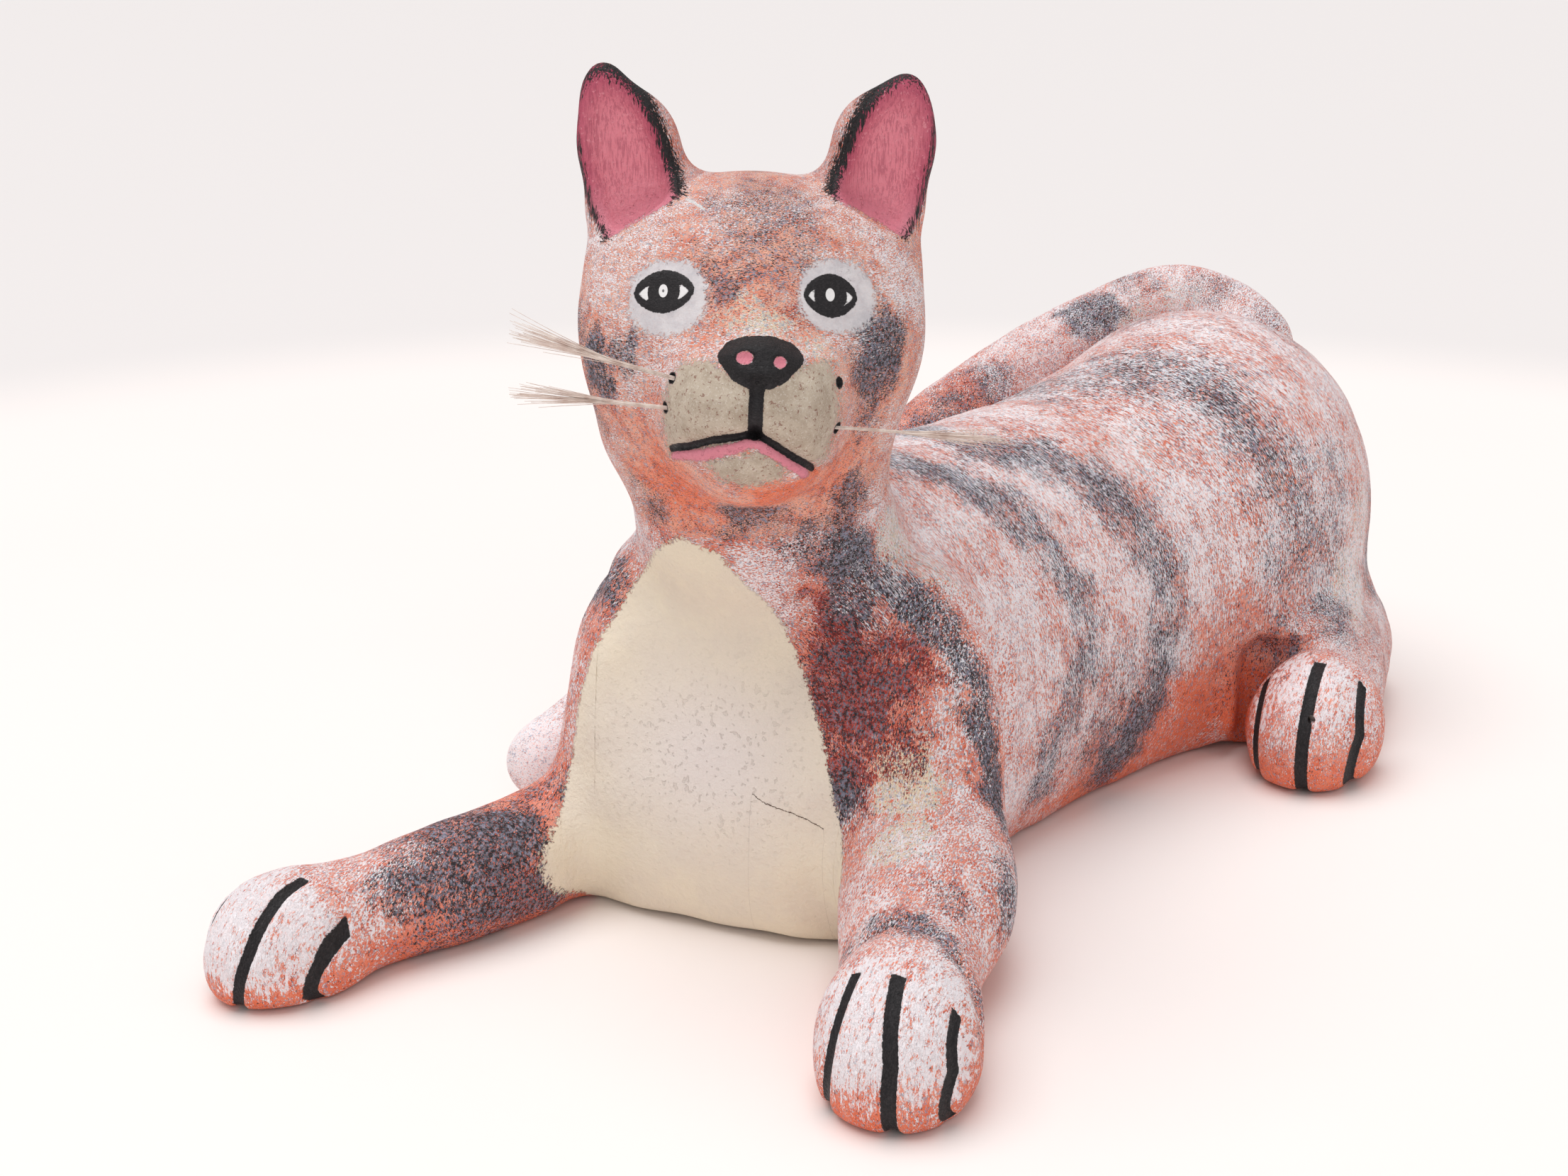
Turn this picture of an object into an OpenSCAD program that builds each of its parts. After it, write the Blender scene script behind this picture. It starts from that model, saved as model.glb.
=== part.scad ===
// Carved and painted wooden cat, lying down with its head raised.
// Millimetres. +Z is up, the cat looks towards -Y, and +X is the cat's left side.
// The origin is on the flat underside of the torso.

/* [Torso] */
// Height of the back above the ground
body_h = 106; // [98:1:112]
// Width of the barrel
body_w = 98; // [88:1:104]
// Distance from the ground origin forward to the chest's front
chest_front = 122; // [116:1:126]
// Distance from the ground origin back to the end of the rump
rump_back = 150; // [142:1:156]
// How far the rump swings to the cat's left
rump_swing = 47; // [40:1:52]

/* [Head] */
// Width of the head at the cheeks
head_w = 77; // [70:1:80]
// Height of the glue joint between neck and head
neck_z = 101; // [98:1:104]
// Turn of the face to the cat's left, in degrees
head_turn = 25; // [15:1:32]
// Height of the ear tips above the ground
ear_top = 197; // [190:1:204]

/* [Legs] */
// Width of a front paw
paw_w = 34; // [30:1:38]
// Distance from the ground origin forward to the front of the paws
paw_front = 200; // [192:1:206]

/* [Tail] */
// Radius of the tail at its root
tail_root_r = 15; // [13:0.5:16]
// Radius of the tail near its tip
tail_tip_r = 10.5; // [8:0.5:12]

/* [Pins and pegs] */
// Radius of the dowels that join head and forelegs to the torso
dowel_r = 4; // [3:0.5:5]
// Radius of the peg that the tail plugs in on
peg_r = 5; // [4:0.5:6]
// Gap all round the tail peg in its two bores
peg_gap = 0.05; // [0.03:0.01:0.1]
// Radius of the little pegs in the ears
ear_peg_r = 1.5; // [1:0.25:2]
// Radius of the nails that hold the hind paws
nail_r = 1; // [0.75:0.25:1.5]
// Radius of the holes drilled for the whisker tufts
whisker_hole_r = 1; // [0.75:0.25:1.25]

/* [Hidden] */
$fn = 48;
big = 600;

// ---- Carved forms -------------------------------------------------------
// A form is a list of lumps (ellipsoids) that melt into each other. Its skin is
// where the blended distance to the lumps is zero, and a loft finds that skin by
// looking outwards from a spine, ring by ring.

function unit(v) = v / norm(v);

// Rows are the axes of a lump that is pitched about X, leaned about Y and turned about Z
function axes(a) = let (sx = sin(a.x), cx = cos(a.x), sy = sin(a.y), cy = cos(a.y), sz = sin(a.z), cz = cos(a.z))
    [[cz * cy, sz * cy, -sy],
     [cz * sy * sx - sz * cx, sz * sy * sx + cz * cx, cy * sx],
     [cz * sy * cx + sz * sx, sz * sy * cx - cz * sx, cy * cx]];

function lump(centre, radii, a = [0, 0, 0]) = [centre, radii, axes(a)];

function lump_distance(p, l) =
    let (q = l[2] * (p - l[0]), r = l[1])
    let (k0 = norm([q.x / r.x, q.y / r.y, q.z / r.z]))
    let (k1 = norm([q.x / (r.x * r.x), q.y / (r.y * r.y), q.z / (r.z * r.z)]))
    k0 * (k0 - 1) / max(k1, 0.000001);

function sum(v, i = 0) = i == len(v) ? 0 : v[i] + sum(v, i + 1);

function skin(p, form, melt) = -melt * ln(sum([for (l = form) exp(-lump_distance(p, l) / melt)]));

// How far the skin is from point o in direction v, by halving the interval n times
function reach(o, v, form, melt, lo, hi, n = 13) = let (m = (lo + hi) / 2)
    n == 0 ? m : skin(o + m * v, form, melt) < 0 ? reach(o, v, form, melt, m, hi, n - 1)
                                                 : reach(o, v, form, melt, lo, m, n - 1);

function spine_point(s, t) = (1 - t) * (1 - t) * s[0] + 2 * t * (1 - t) * s[1] + t * t * s[2];
function spine_way(s, t) = unit((1 - t) * (s[1] - s[0]) + t * (s[2] - s[1]));

// One point of the skin: s runs from 0 at the near pole to 1 at the far one
cap = 0.24;
function skin_point(form, melt, spine, up, s, a, far) =
    let (t = min(max((s - cap) / (1 - 2 * cap), 0), 1))
    let (tilt = s < cap ? 90 * (s / cap - 1) : s > 1 - cap ? 90 * (1 - (1 - s) / cap) : 0)
    let (o = spine_point(spine, t), w = spine_way(spine, t))
    let (side = unit(cross(w, up)), top = cross(side, w))
    let (v = sin(tilt) * w + cos(tilt) * (cos(a) * side + sin(a) * top))
    o + v * reach(o, v, form, melt, 0, far);

module carved(form, melt, spine, rings, sides, up = [0, 0, 1], far = 110) {
    ring_pts = [for (i = [1 : rings - 1]) for (j = [0 : sides - 1])
        skin_point(form, melt, spine, up, i / rings, 360 * j / sides, far)];
    poles = [skin_point(form, melt, spine, up, 0, 0, far), skin_point(form, melt, spine, up, 1, 0, far)];
    last = (rings - 2) * sides;
    n = len(ring_pts);
    walls = [for (i = [0 : rings - 3]) for (j = [0 : sides - 1])
        let (a = i * sides + j, b = i * sides + (j + 1) % sides)
        each [[a, b, b + sides], [a, b + sides, a + sides]]];
    near = [for (j = [0 : sides - 1]) [n, (j + 1) % sides, j]];
    far_end = [for (j = [0 : sides - 1]) [n + 1, last + j, last + (j + 1) % sides]];
    polyhedron(concat(ring_pts, poles), concat(walls, near, far_end));
}

// Everything on the far side of a plane through p, seen along n
module beyond(p, n) {
    translate(p) rotate([0, acos(unit(n).z), atan2(n.y, n.x)]) translate([-big / 2, -big / 2, 0]) cube(big);
}

module below_ground() {
    translate([-big / 2, -big / 2, -big]) cube(big);
}

// A pin of radius r and length h, half on each side of p, along d
module pin(p, d, r, h) {
    translate(p) rotate([0, acos(unit(d).z), atan2(d.y, d.x)]) cylinder(r = r, h = h, center = true);
}

// ---- Where the joints are ----------------------------------------------
neck_at = [0, -98, neck_z];
neck_way = [0, -0.18, 1];
neck_pin_l = 44;

// A foreleg is glued on at a flat cut through the shoulder; s is 1 on the left, -1 on the right
function leg_at(s) = [s * 40, -92, 34];
function leg_way(s) = [s * 0.96, -0.28, 0];
leg_pin_l = 18;
function leg_pin_at(s) = leg_at(s) + [0, 0, -4] - 2 * leg_way(s);
barrel_start = -35;

// A hind paw is glued and nailed into a notch in the haunch, against the notch's back wall
function hind_at(s) = s > 0 ? [rump_swing + 54, 51, 13] : [rump_swing - 74, 47, 13];
function hind_way(s) = [s * 0.10, -1, 0];
notch_top = 34;
nail_rise = 8;
nail_in = 18;
nail_out = 30;

// Places on the head are written in its own frame: x to the cat's left, y back, z up
head_mid = [3, -106, 0];
head_axes = [[cos(head_turn), -sin(head_turn), 0], [sin(head_turn), cos(head_turn), 0], [0, 0, 1]];
function on_head(v) = head_mid + head_axes * v;

function ear_root(s) = on_head([s * 26, 4, 163.5]);
function ear_way(s) = unit(head_axes * [s * 0.5, 0.05, 0.86]);
ear_seat_r = 17;
ear_pin_l = 14;

// The tail is plugged onto the rump on a peg, and pulls off along it
tail_at = [53, 127, 86];
tail_way = unit([0, 0.69, 0.725]);
tail_gap = 0.3;
tail_pin_in = 24;
tail_pin_out = 18;
peg_end_gap = 0.5;

// Each tuft: mouth of its hole on the muzzle, the way it points, length and radius of its fan
tufts = [
    [[-16.6, -38, 134.8], [-34, 3, 9], 34, 2.6],
    [[-17.4, -37, 128.3], [-32, 3, 3], 32, 2.6],
    [[16.4, -38, 125.4], [36, 3, -3], 36, 2.2]];
hole_depth = 6;

// ---- The forms ----------------------------------------------------------
hw = body_w / 2;
belly_z = 38;
back_r = body_h - belly_z;

// The spine comes down from the neck and runs back, swinging to the left at the rump
torso_spine = [[0, -100, 85], [0, -60, 20], [rump_swing, 92, 44]];
function swing(y) = rump_swing * pow((y + 100) / 192, 1.6);

// The barrel is a row of like lumps, a little lower between the shoulders and the haunches
function barrel(y) = lump([swing(y), y, belly_z], [hw - 3 + y / 40, 48, back_r - 11 + abs(y) / 15], [0, 0, -12 - y / 5]);

// Torso and foreleg share a shoulder, and torso and head share the neck, so their cut faces match.
// The left shoulder and elbow are carved thicker than the right.
function bulk(s) = s > 0 ? 3 : 0;
function shoulder(s) = lump([s * (33 + bulk(s)), -92, 38], [17 + bulk(s), 28, 44]);
neck = lump([1, -99, 97], [29, 27, 24]);

torso_form = concat(
    [lump([-1, 38 - chest_front, 28], [36, 37, 68]), neck],
    [for (s = [1, -1]) lump([s * 17 - 2, 25 - chest_front, 16], [20, 26, 34])],
    [for (s = [1, -1]) shoulder(s)],
    [for (y = [-55 : 35 : 50]) barrel(y)],
    [lump([rump_swing + 4, rump_back - 62, belly_z + 20], [hw + 1, 60, back_r - 13]),
     lump([rump_swing + 37, 92, 14], [25, 40, 24], [0, 0, -8]),
     lump([rump_swing - 36, 86, 22], [28, 42, 38], [0, 0, 8])],
    [for (s = [1, -1]) lump(hind_at(s) + [s * -5, 12, -1], [17, 26, 21])]);

head_form = concat(
    [lump(on_head([-1, 0, 138.5]), [head_w / 2 - 0.5, 36, 34], [0, 0, head_turn]), neck,
     lump([-2, -103, 115], [31.5, 28, 19]),
     lump(on_head([0, -33, 130]), [16, 14, 15], [0, 0, head_turn]),
     lump(on_head([-1, -28, 118]), [13, 14, 10], [0, 0, head_turn])],
    [for (s = [1, -1]) lump(on_head([s * 25, 4, 157]), [10, 9, 9])]);
head_spine = [[1, -103, 108], on_head([0, -4, 128]), on_head([0, -4, 150])];

function foreleg_form(s) = [
    shoulder(s),
    lump([s * (46 + 2 * bulk(s)), -120, 12 + 2 * bulk(s)], [12 + 2.2 * bulk(s), 30, 13 + 2 * bulk(s)], [0, 0, s * 14]),
    lump([s * 58 + bulk(s) / 2, -152, 12 + bulk(s) / 3], [12, 26, 13 + bulk(s) * 2 / 3], [0, 0, s * 22]),
    lump(paw_at(s), [paw_w / 2 - 1, 19, 17 + bulk(s)], [0, 0, s * 14])];
function paw_at(s) = s > 0 ? [66.5, 24 - paw_front, 10] : [-75, 15.5 - paw_front, 8];
function foreleg_spine(s) = [[s * 42, -88, 30], [s * 50, -125, 12], paw_at(s) + [0, 0, 2]];

function hind_form(s) = [lump(hind_at(s) - [0, 11, 2], [paw_w / 2 + 1, 26, 21])];
function hind_spine(s) = [hind_at(s) + [0, 2, 0], hind_at(s) - [0, 6, 0], hind_at(s) - [0, 16, 0]];

// The left ear is carved a little lower
function ear_tip(s) = s > 0 ? ear_top - 2.5 : ear_top;
function ear_form(s) = [
    lump(on_head([s * 24.5, 4, 164]), [13, 8, 14], [0, 0, head_turn]),
    lump(on_head([s * 27.3, 3, 177.5]), [12, 5.5, 13], [0, 0, head_turn]),
    lump(on_head([s * 32.5, 3, ear_tip(s) - 8.5]), [5.5, 3.8, 8.5], [0, 0, head_turn])];
function ear_spine(s) = [on_head([s * 26, 4, 166]), on_head([s * 28, 3, 175]), on_head([s * 32, 3, ear_tip(s) - 13])];

// The tail leaves the rump, arches over it and comes forward along the right flank to the ground
tail_route = concat(
    [for (d = [0, 5, 12]) tail_at + (d + tail_gap) * tail_way],
    [[41, 142, 101], [27, 141, 103.5], [11, 127, 98], [-8, 103, 87], [-24, 72, 73], [-38, 38, 57],
     [-51, 4, 41], [-62, -28, 27], [-70, -54, 17.5], [-74, -72, 13]]);
tail_steps = 4;
tail_sides = 20;

// Smooth curve through the route's points
function route_point(r, i) = r[min(max(i, 0), len(r) - 1)];
function between(r, i, t) = let (a = route_point(r, i - 1), b = route_point(r, i), c = route_point(r, i + 1))
    let (d = route_point(r, i + 2))
    0.5 * ((2 * b) + (c - a) * t + (2 * a - 5 * b + 4 * c - d) * t * t + (3 * b - a - 3 * c + d) * t * t * t);
tail_line = concat(
    [for (i = [0 : len(tail_route) - 2]) for (j = [0 : tail_steps - 1]) between(tail_route, i, j / tail_steps)],
    [tail_route[len(tail_route) - 1]]);

// ---- Parts --------------------------------------------------------------
module torso() {
    color("salmon") difference() {
        carved(torso_form, 6, torso_spine, 52, 40);
        below_ground();
        beyond(neck_at, neck_way);
        for (s = [1, -1]) shoulder_cut(s);
        for (s = [1, -1]) hind_seat(s);
        beyond(tail_at, tail_way);
        pin(neck_at, neck_way, dowel_r, neck_pin_l);
        for (s = [1, -1]) pin(leg_pin_at(s), leg_way(s), dowel_r, leg_pin_l);
        for (s = [1, -1]) nail_rod(s, nail_out);
        peg_bore(-tail_pin_in - peg_end_gap, 1);
    }
}

module head() {
    color("lightsalmon") difference() {
        carved(head_form, 4, head_spine, 36, 36, up = [0, -1, 0]);
        beyond(neck_at, -neck_way);
        for (s = [1, -1]) ear_seat(s);
        pin(neck_at, neck_way, dowel_r, neck_pin_l);
        for (s = [1, -1]) pin(ear_root(s), ear_way(s), ear_peg_r, ear_pin_l);
        for (t = tufts) tuft_hole(t);
        tuft_hole([[16, -38, 134.2], [36, 3, 6]]);
    }
}

module neck_dowel() {
    color("burlywood") pin(neck_at, neck_way, dowel_r, neck_pin_l);
}

module ear(s) {
    color("palevioletred") difference() {
        carved(ear_form(s), 1.5, ear_spine(s), 22, 20, up = [0, -1, 0], far = 60);
        beyond(ear_root(s), -ear_way(s));
        pin(ear_root(s), ear_way(s), ear_peg_r, ear_pin_l);
    }
}

// The head is cut flat where an ear stands
module ear_seat(s) {
    pin(ear_root(s) + 10 * ear_way(s), ear_way(s), ear_seat_r, 20);
}

module ear_peg(s) {
    color("burlywood") pin(ear_root(s), ear_way(s), ear_peg_r, ear_pin_l);
}

module foreleg(s) {
    color("sandybrown") difference() {
        carved(foreleg_form(s), 6, foreleg_spine(s), 30, 24);
        below_ground();
        beyond(leg_at(s), -leg_way(s));
        pin(leg_pin_at(s), leg_way(s), dowel_r, leg_pin_l);
    }
}

// The flat cut that a foreleg is glued to; it ends well before the barrel
module shoulder_cut(s) {
    intersection() {
        beyond(leg_at(s), leg_way(s));
        translate([-big / 2, -big + barrel_start, -big / 2]) cube(big);
    }
}

module foreleg_dowel(s) {
    color("burlywood") pin(leg_pin_at(s), leg_way(s), dowel_r, leg_pin_l);
}

// The notch in the haunch
module hind_seat(s) {
    w = paw_w + 12;
    translate([hind_at(s).x, hind_at(s).y, -1]) rotate([0, 0, atan2(hind_way(s).y, hind_way(s).x)])
        translate([0, -w / 2, 0]) cube([w, w, notch_top + 1]);
}

module hind_paw(s) {
    color("mistyrose") difference() {
        carved(hind_form(s), 3, hind_spine(s), 22, 24);
        below_ground();
        beyond(hind_at(s), -hind_way(s));
        nail_rod(s, nail_out + 20);
    }
}

// A headless nail driven back through the paw into the haunch, sunk below the paw's face;
// front is how far the rod or its hole reaches in front of the seat
module nail_rod(s, front) {
    mid = (front - nail_in) / 2;
    pin(hind_at(s) + [0, 0, nail_rise] + mid * unit(hind_way(s)), hind_way(s), nail_r, front + nail_in);
}

module hind_nail(s) {
    color("silver") nail_rod(s, nail_out);
}

module peg_bore(from, to) {
    translate(tail_at) rotate([0, acos(tail_way.z), 90]) translate([0, 0, from])
        cylinder(r = peg_r + peg_gap, h = to - from);
}

module tail() {
    color("indianred") difference() {
        swept_tail();
        peg_bore(0, tail_pin_out + peg_end_gap);
    }
}

// A tapering tube along the tail's line, closed by a round tip
module swept_tail() {
    n = len(tail_line);
    tip = tail_line[n - 1];
    tip_way = unit(tip - tail_line[n - 2]);
    function way(i) = unit(tail_line[min(i + 1, n - 1)] - tail_line[max(i - 1, 0)]);
    function ring(p, w, r) = let (side = unit(cross(w, [0.2, -0.7, 1])), top = cross(side, w))
        [for (j = [0 : tail_sides - 1]) let (a = 360 * j / tail_sides) p + r * (cos(a) * side + sin(a) * top)];
    rings = concat(
        [for (i = [0 : n - 1]) ring(tail_line[i], way(i), tail_root_r + (tail_tip_r - tail_root_r) * i / (n - 1))],
        [for (a = [20 : 20 : 80]) ring(tip + tail_tip_r * sin(a) * tip_way, tip_way, tail_tip_r * cos(a))]);
    m = len(rings);
    polyhedron([for (r = rings) each r], concat(
        [for (i = [0 : m - 2]) for (j = [0 : tail_sides - 1])
            let (a = i * tail_sides + j, b = i * tail_sides + (j + 1) % tail_sides)
            each [[a, b, b + tail_sides], [a, b + tail_sides, a + tail_sides]]],
        [[for (j = [tail_sides - 1 : -1 : 0]) j]],
        [[for (j = [0 : tail_sides - 1]) (m - 1) * tail_sides + j]]));
}

module tail_peg() {
    color("burlywood") translate(tail_at) rotate([0, acos(tail_way.z), 90])
        translate([0, 0, -tail_pin_in]) cylinder(r = peg_r, h = tail_pin_in + tail_pin_out);
}

module tuft_hole(t) {
    pin(on_head(t[0]), head_axes * t[1], whisker_hole_r, 2 * hole_depth);
}

// A tuft of fibre: a round plug glued in its hole, opening into a long narrow fan
module whiskers(t) {
    way = unit(head_axes * t[1]);
    color("wheat") translate(on_head(t[0])) rotate([0, acos(way.z), atan2(way.y, way.x)]) {
        translate([0, 0, 1 - hole_depth]) cylinder(r = whisker_hole_r, h = hole_depth);
        translate([0, 0, 1]) cylinder(r1 = whisker_hole_r, r2 = t[3], h = t[2]);
    }
}

torso();
head();
neck_dowel();
ear(1);  // ear_left
ear(-1);  // ear_right
ear_peg(1);  // ear_peg_left
ear_peg(-1);  // ear_peg_right
foreleg(1);  // foreleg_left
foreleg(-1);  // foreleg_right
foreleg_dowel(1);  // foreleg_dowel_left
foreleg_dowel(-1);  // foreleg_dowel_right
hind_paw(1);  // hind_paw_left
hind_paw(-1);  // hind_paw_right
hind_nail(1);  // hind_nail_left
hind_nail(-1);  // hind_nail_right
tail();
tail_peg();
whiskers(tufts[0]);  // whiskers_right_upper
whiskers(tufts[1]);  // whiskers_right_lower
whiskers(tufts[2]);  // whiskers_left_lower
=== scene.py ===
"""Looks of a carved and painted wooden cat lying down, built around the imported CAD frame.

Lengths in this file are millimetres unless a name says otherwise. The figure's pieces are
carved out of one blended form, so the paint and the wood run on across the glue joints.
"""

import math

import bmesh
import bpy
import numpy as np
import openvdb as vdb
from mathutils import Matrix, Vector


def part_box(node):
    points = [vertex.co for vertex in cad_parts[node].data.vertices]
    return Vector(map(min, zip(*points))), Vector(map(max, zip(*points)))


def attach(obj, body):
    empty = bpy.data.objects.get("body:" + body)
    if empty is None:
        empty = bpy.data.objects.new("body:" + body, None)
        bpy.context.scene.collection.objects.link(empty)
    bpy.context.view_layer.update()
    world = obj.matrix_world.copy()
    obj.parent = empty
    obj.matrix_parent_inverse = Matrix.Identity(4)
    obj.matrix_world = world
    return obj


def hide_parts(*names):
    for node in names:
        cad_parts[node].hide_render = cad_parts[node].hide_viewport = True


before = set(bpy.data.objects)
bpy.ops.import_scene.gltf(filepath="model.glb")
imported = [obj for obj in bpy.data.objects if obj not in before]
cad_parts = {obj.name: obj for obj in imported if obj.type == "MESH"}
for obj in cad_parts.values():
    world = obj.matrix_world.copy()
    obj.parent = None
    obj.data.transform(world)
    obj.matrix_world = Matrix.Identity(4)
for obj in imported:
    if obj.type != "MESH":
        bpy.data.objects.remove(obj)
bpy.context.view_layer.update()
MM = 0.001

# ---- Sizes ----
HEAD_TURN = math.radians(25)
HEAD_MID = np.array([3.0, -106.0, 0.0])
VIEW_TILT = math.radians(17)
BASE_STEP = 1.2
BODY_STEP = 1.15
LEG_STEP = 0.8
HEAD_STEP = 0.6
FILLET = 5.0
SOFTEN = 1.5
PEG_RADIUS = 5.0
PEG_IN = 24.0
PEG_PLAY = 0.05
TAIL_GAP = 0.3
WHISKER_HOLE = 1.05
ROOT_FULL = 18.0
ROOT_END = 34.0
SHOULDER_BACK = -60.0
BIG = 300.0

FIGURE = ["torso", "head", "ear_left", "ear_right", "foreleg_left", "foreleg_right"]
HIND = ["hind_paw_left", "hind_paw_right"]


# ---- Camera ----
def camera():
    data = bpy.data.cameras.new("camera")
    data.sensor_width = 36
    data.lens = 55.33
    data.clip_start = 0.01
    data.clip_end = 20
    eye = bpy.data.objects.new("camera", data)
    eye.location = (0.2266, -0.5775, 0.2384)
    eye.rotation_euler = (math.radians(73), 0, math.radians(24.7))
    bpy.context.collection.objects.link(eye)
    bpy.context.scene.camera = eye


# ---- Distance fields ----
def node_mesh(name):
    """The vertices, in mm, and triangles of a CAD node."""
    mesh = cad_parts[name].data
    mesh.calc_loop_triangles()
    points = np.empty(len(mesh.vertices) * 3, np.float32)
    mesh.vertices.foreach_get("co", points)
    triangles = np.empty(len(mesh.loop_triangles) * 3, np.int32)
    mesh.loop_triangles.foreach_get("vertices", triangles)
    return points.reshape(-1, 3) / MM, triangles.reshape(-1, 3)


class Grid:
    """A box of cubic voxels that holds signed distances in mm, negative inside."""

    def __init__(self, low, high, step):
        self.step = step
        self.low = np.floor(np.asarray(low, float) / step) * step
        self.shape = tuple(np.ceil((np.asarray(high) - self.low) / step).astype(int) + 1)

    def axes(self):
        """x, y and z of the voxels, shaped to combine into the whole box."""
        lines = [self.low[i] + self.step * np.arange(self.shape[i]) for i in range(3)]
        return np.ix_(*(line.astype(np.float32) for line in lines))

    def level(self, points, faces, band):
        """Distances to a closed mesh, exact within band mm of its surface."""
        place = vdb.createLinearTransform(self.step)
        kind = "quads" if faces.shape[1] == 4 else "triangles"
        grid = vdb.FloatGrid.createLevelSetFromPolygons(
            np.ascontiguousarray(points - self.low, np.float32),
            transform=place,
            halfWidth=band / self.step,
            **{kind: np.ascontiguousarray(faces, np.uint32)},
        )
        field = np.empty(self.shape, np.float32)
        grid.copyToArray(field)
        return field

    def surface(self, field, at=0.0):
        """Points and quads where the field is at the given distance."""
        grid = vdb.FloatGrid(3 * self.step)
        grid.transform = vdb.createLinearTransform(self.step)
        limit = 3 * self.step
        grid.copyFromArray(np.clip(field - at, -limit, limit).astype(np.float32))
        points, quads = grid.convertToQuads(0.0)
        return points + self.low.astype(np.float32), quads

    def closed(self, field, radius):
        """The field with every inner corner filled to the given radius."""
        points, quads = self.surface(field, radius)
        return self.level(points, quads, radius + 4 * self.step) + radius

    def sample(self, field, other):
        """This grid's field read at the voxels of another grid."""
        out = field
        for axis in range(3):
            at = (other.low[axis] - self.low[axis] + other.step * np.arange(other.shape[axis])) / self.step
            at = np.clip(at, 0, field.shape[axis] - 1.001)
            first = at.astype(int)
            share = (at - first).astype(np.float32)
            shape = [1, 1, 1]
            shape[axis] = -1
            share = share.reshape(shape)
            out = np.take(out, first, axis) * (1 - share) + np.take(out, first + 1, axis) * share
        return out


def softened(field, sigma):
    """The field after a Gaussian blur of sigma voxels."""
    reach = max(1, int(math.ceil(2.5 * sigma)))
    weights = np.exp(-0.5 * (np.arange(-reach, reach + 1) / sigma) ** 2)
    weights /= weights.sum()
    for axis in range(3):
        pad = [(0, 0)] * 3
        pad[axis] = (reach, reach)
        wide = np.pad(field, pad, mode="edge")
        field = np.zeros_like(field)
        for i, w in enumerate(weights):
            cut = [slice(None)] * 3
            cut[axis] = slice(i, i + field.shape[axis])
            field += np.float32(w) * wide[tuple(cut)]
    return field


def smooth(x, low, high):
    t = np.clip((x - low) / (high - low), 0, 1)
    return t * t * (3 - 2 * t)


def blob(x, y, z, centre, radii, lean=0.0):
    """Rough distance to an ellipsoid that leans about the y axis."""
    c, s = math.cos(lean), math.sin(lean)
    dx, dy, dz = x - centre[0], y - centre[1], z - centre[2]
    a = (c * dx - s * dz) / radii[0]
    b = dy / radii[1]
    d = (s * dx + c * dz) / radii[2]
    k0 = np.sqrt(a * a + b * b + d * d)
    k1 = np.sqrt((a / radii[0]) ** 2 + (b / radii[1]) ** 2 + (d / radii[2]) ** 2)
    return k0 * (k0 - 1) / np.maximum(k1, 1e-6)


def melt(a, b, k):
    """Smooth union of two distances."""
    h = np.clip(k - np.abs(a - b), 0, None) / k
    return np.minimum(a, b) - h * h * k / 4


def waves(x, y, z, size, seed):
    """Gentle uneven tool marks, about -1 to 1, with bumps of about the given size."""
    draw = np.random.default_rng(seed)
    total = 0
    for _ in range(7):
        way = draw.normal(size=3)
        way *= draw.uniform(0.7, 1.5) * 2 * math.pi / (2.2 * size) / np.linalg.norm(way)
        total = total + np.sin(way[0] * x + way[1] * y + way[2] * z + draw.uniform(0, 6.28))
    return total / 3.2


# ---- Where the joints are ----
def pin_line(name):
    """The middle, in mm, and direction of a CAD pin or tuft, one way or the other."""
    points, _ = node_mesh(name)
    middle = (points.min(0) + points.max(0)) / 2
    _, _, rows = np.linalg.svd(points - points.mean(0), full_matrices=False)
    return middle.astype(float), rows[0].astype(float)


def towards(way, hint):
    return way if np.dot(way, hint) > 0 else -way


neck_at, neck_way = pin_line("neck_dowel")
neck_way = towards(neck_way, (0, 0, 1))
tail_mid, tail_way = pin_line("tail_peg")
tail_way = towards(tail_way, (0, 1, 1))
tail_points, _ = node_mesh("tail_peg")
tail_at = tail_mid + tail_way * (((tail_points - tail_mid) @ tail_way).min() + PEG_IN)
SIDES = {"left": 1, "right": -1}


def leg_plane(side):
    """A point and the outward direction of the flat glue face of a foreleg."""
    at, way = pin_line("foreleg_dowel_" + side)
    way = towards(way, (SIDES[side], 0, 0))
    return at + 2 * way, way


def ear_plane(side):
    at, way = pin_line("ear_peg_" + side)
    return at, towards(way, (0, 0, 1))


def hind_plane(side):
    """A point and the forward direction of the notch's back wall."""
    at, way = pin_line("hind_nail_" + side)
    way = towards(way, (0, -1, 0))
    return at - 6 * way, way


def to_head(x, y, z):
    """Row-frame places written in the head's own frame: x to its left, y back, z up."""
    c, s = math.cos(HEAD_TURN), math.sin(HEAD_TURN)
    dx, dy = x - HEAD_MID[0], y - HEAD_MID[1]
    return c * dx + s * dy, c * dy - s * dx, z + 0 * x


def from_head(p):
    c, s = math.cos(HEAD_TURN), math.sin(HEAD_TURN)
    return HEAD_MID + np.array([c * p[0] - s * p[1], s * p[0] + c * p[1], p[2]])


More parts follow.
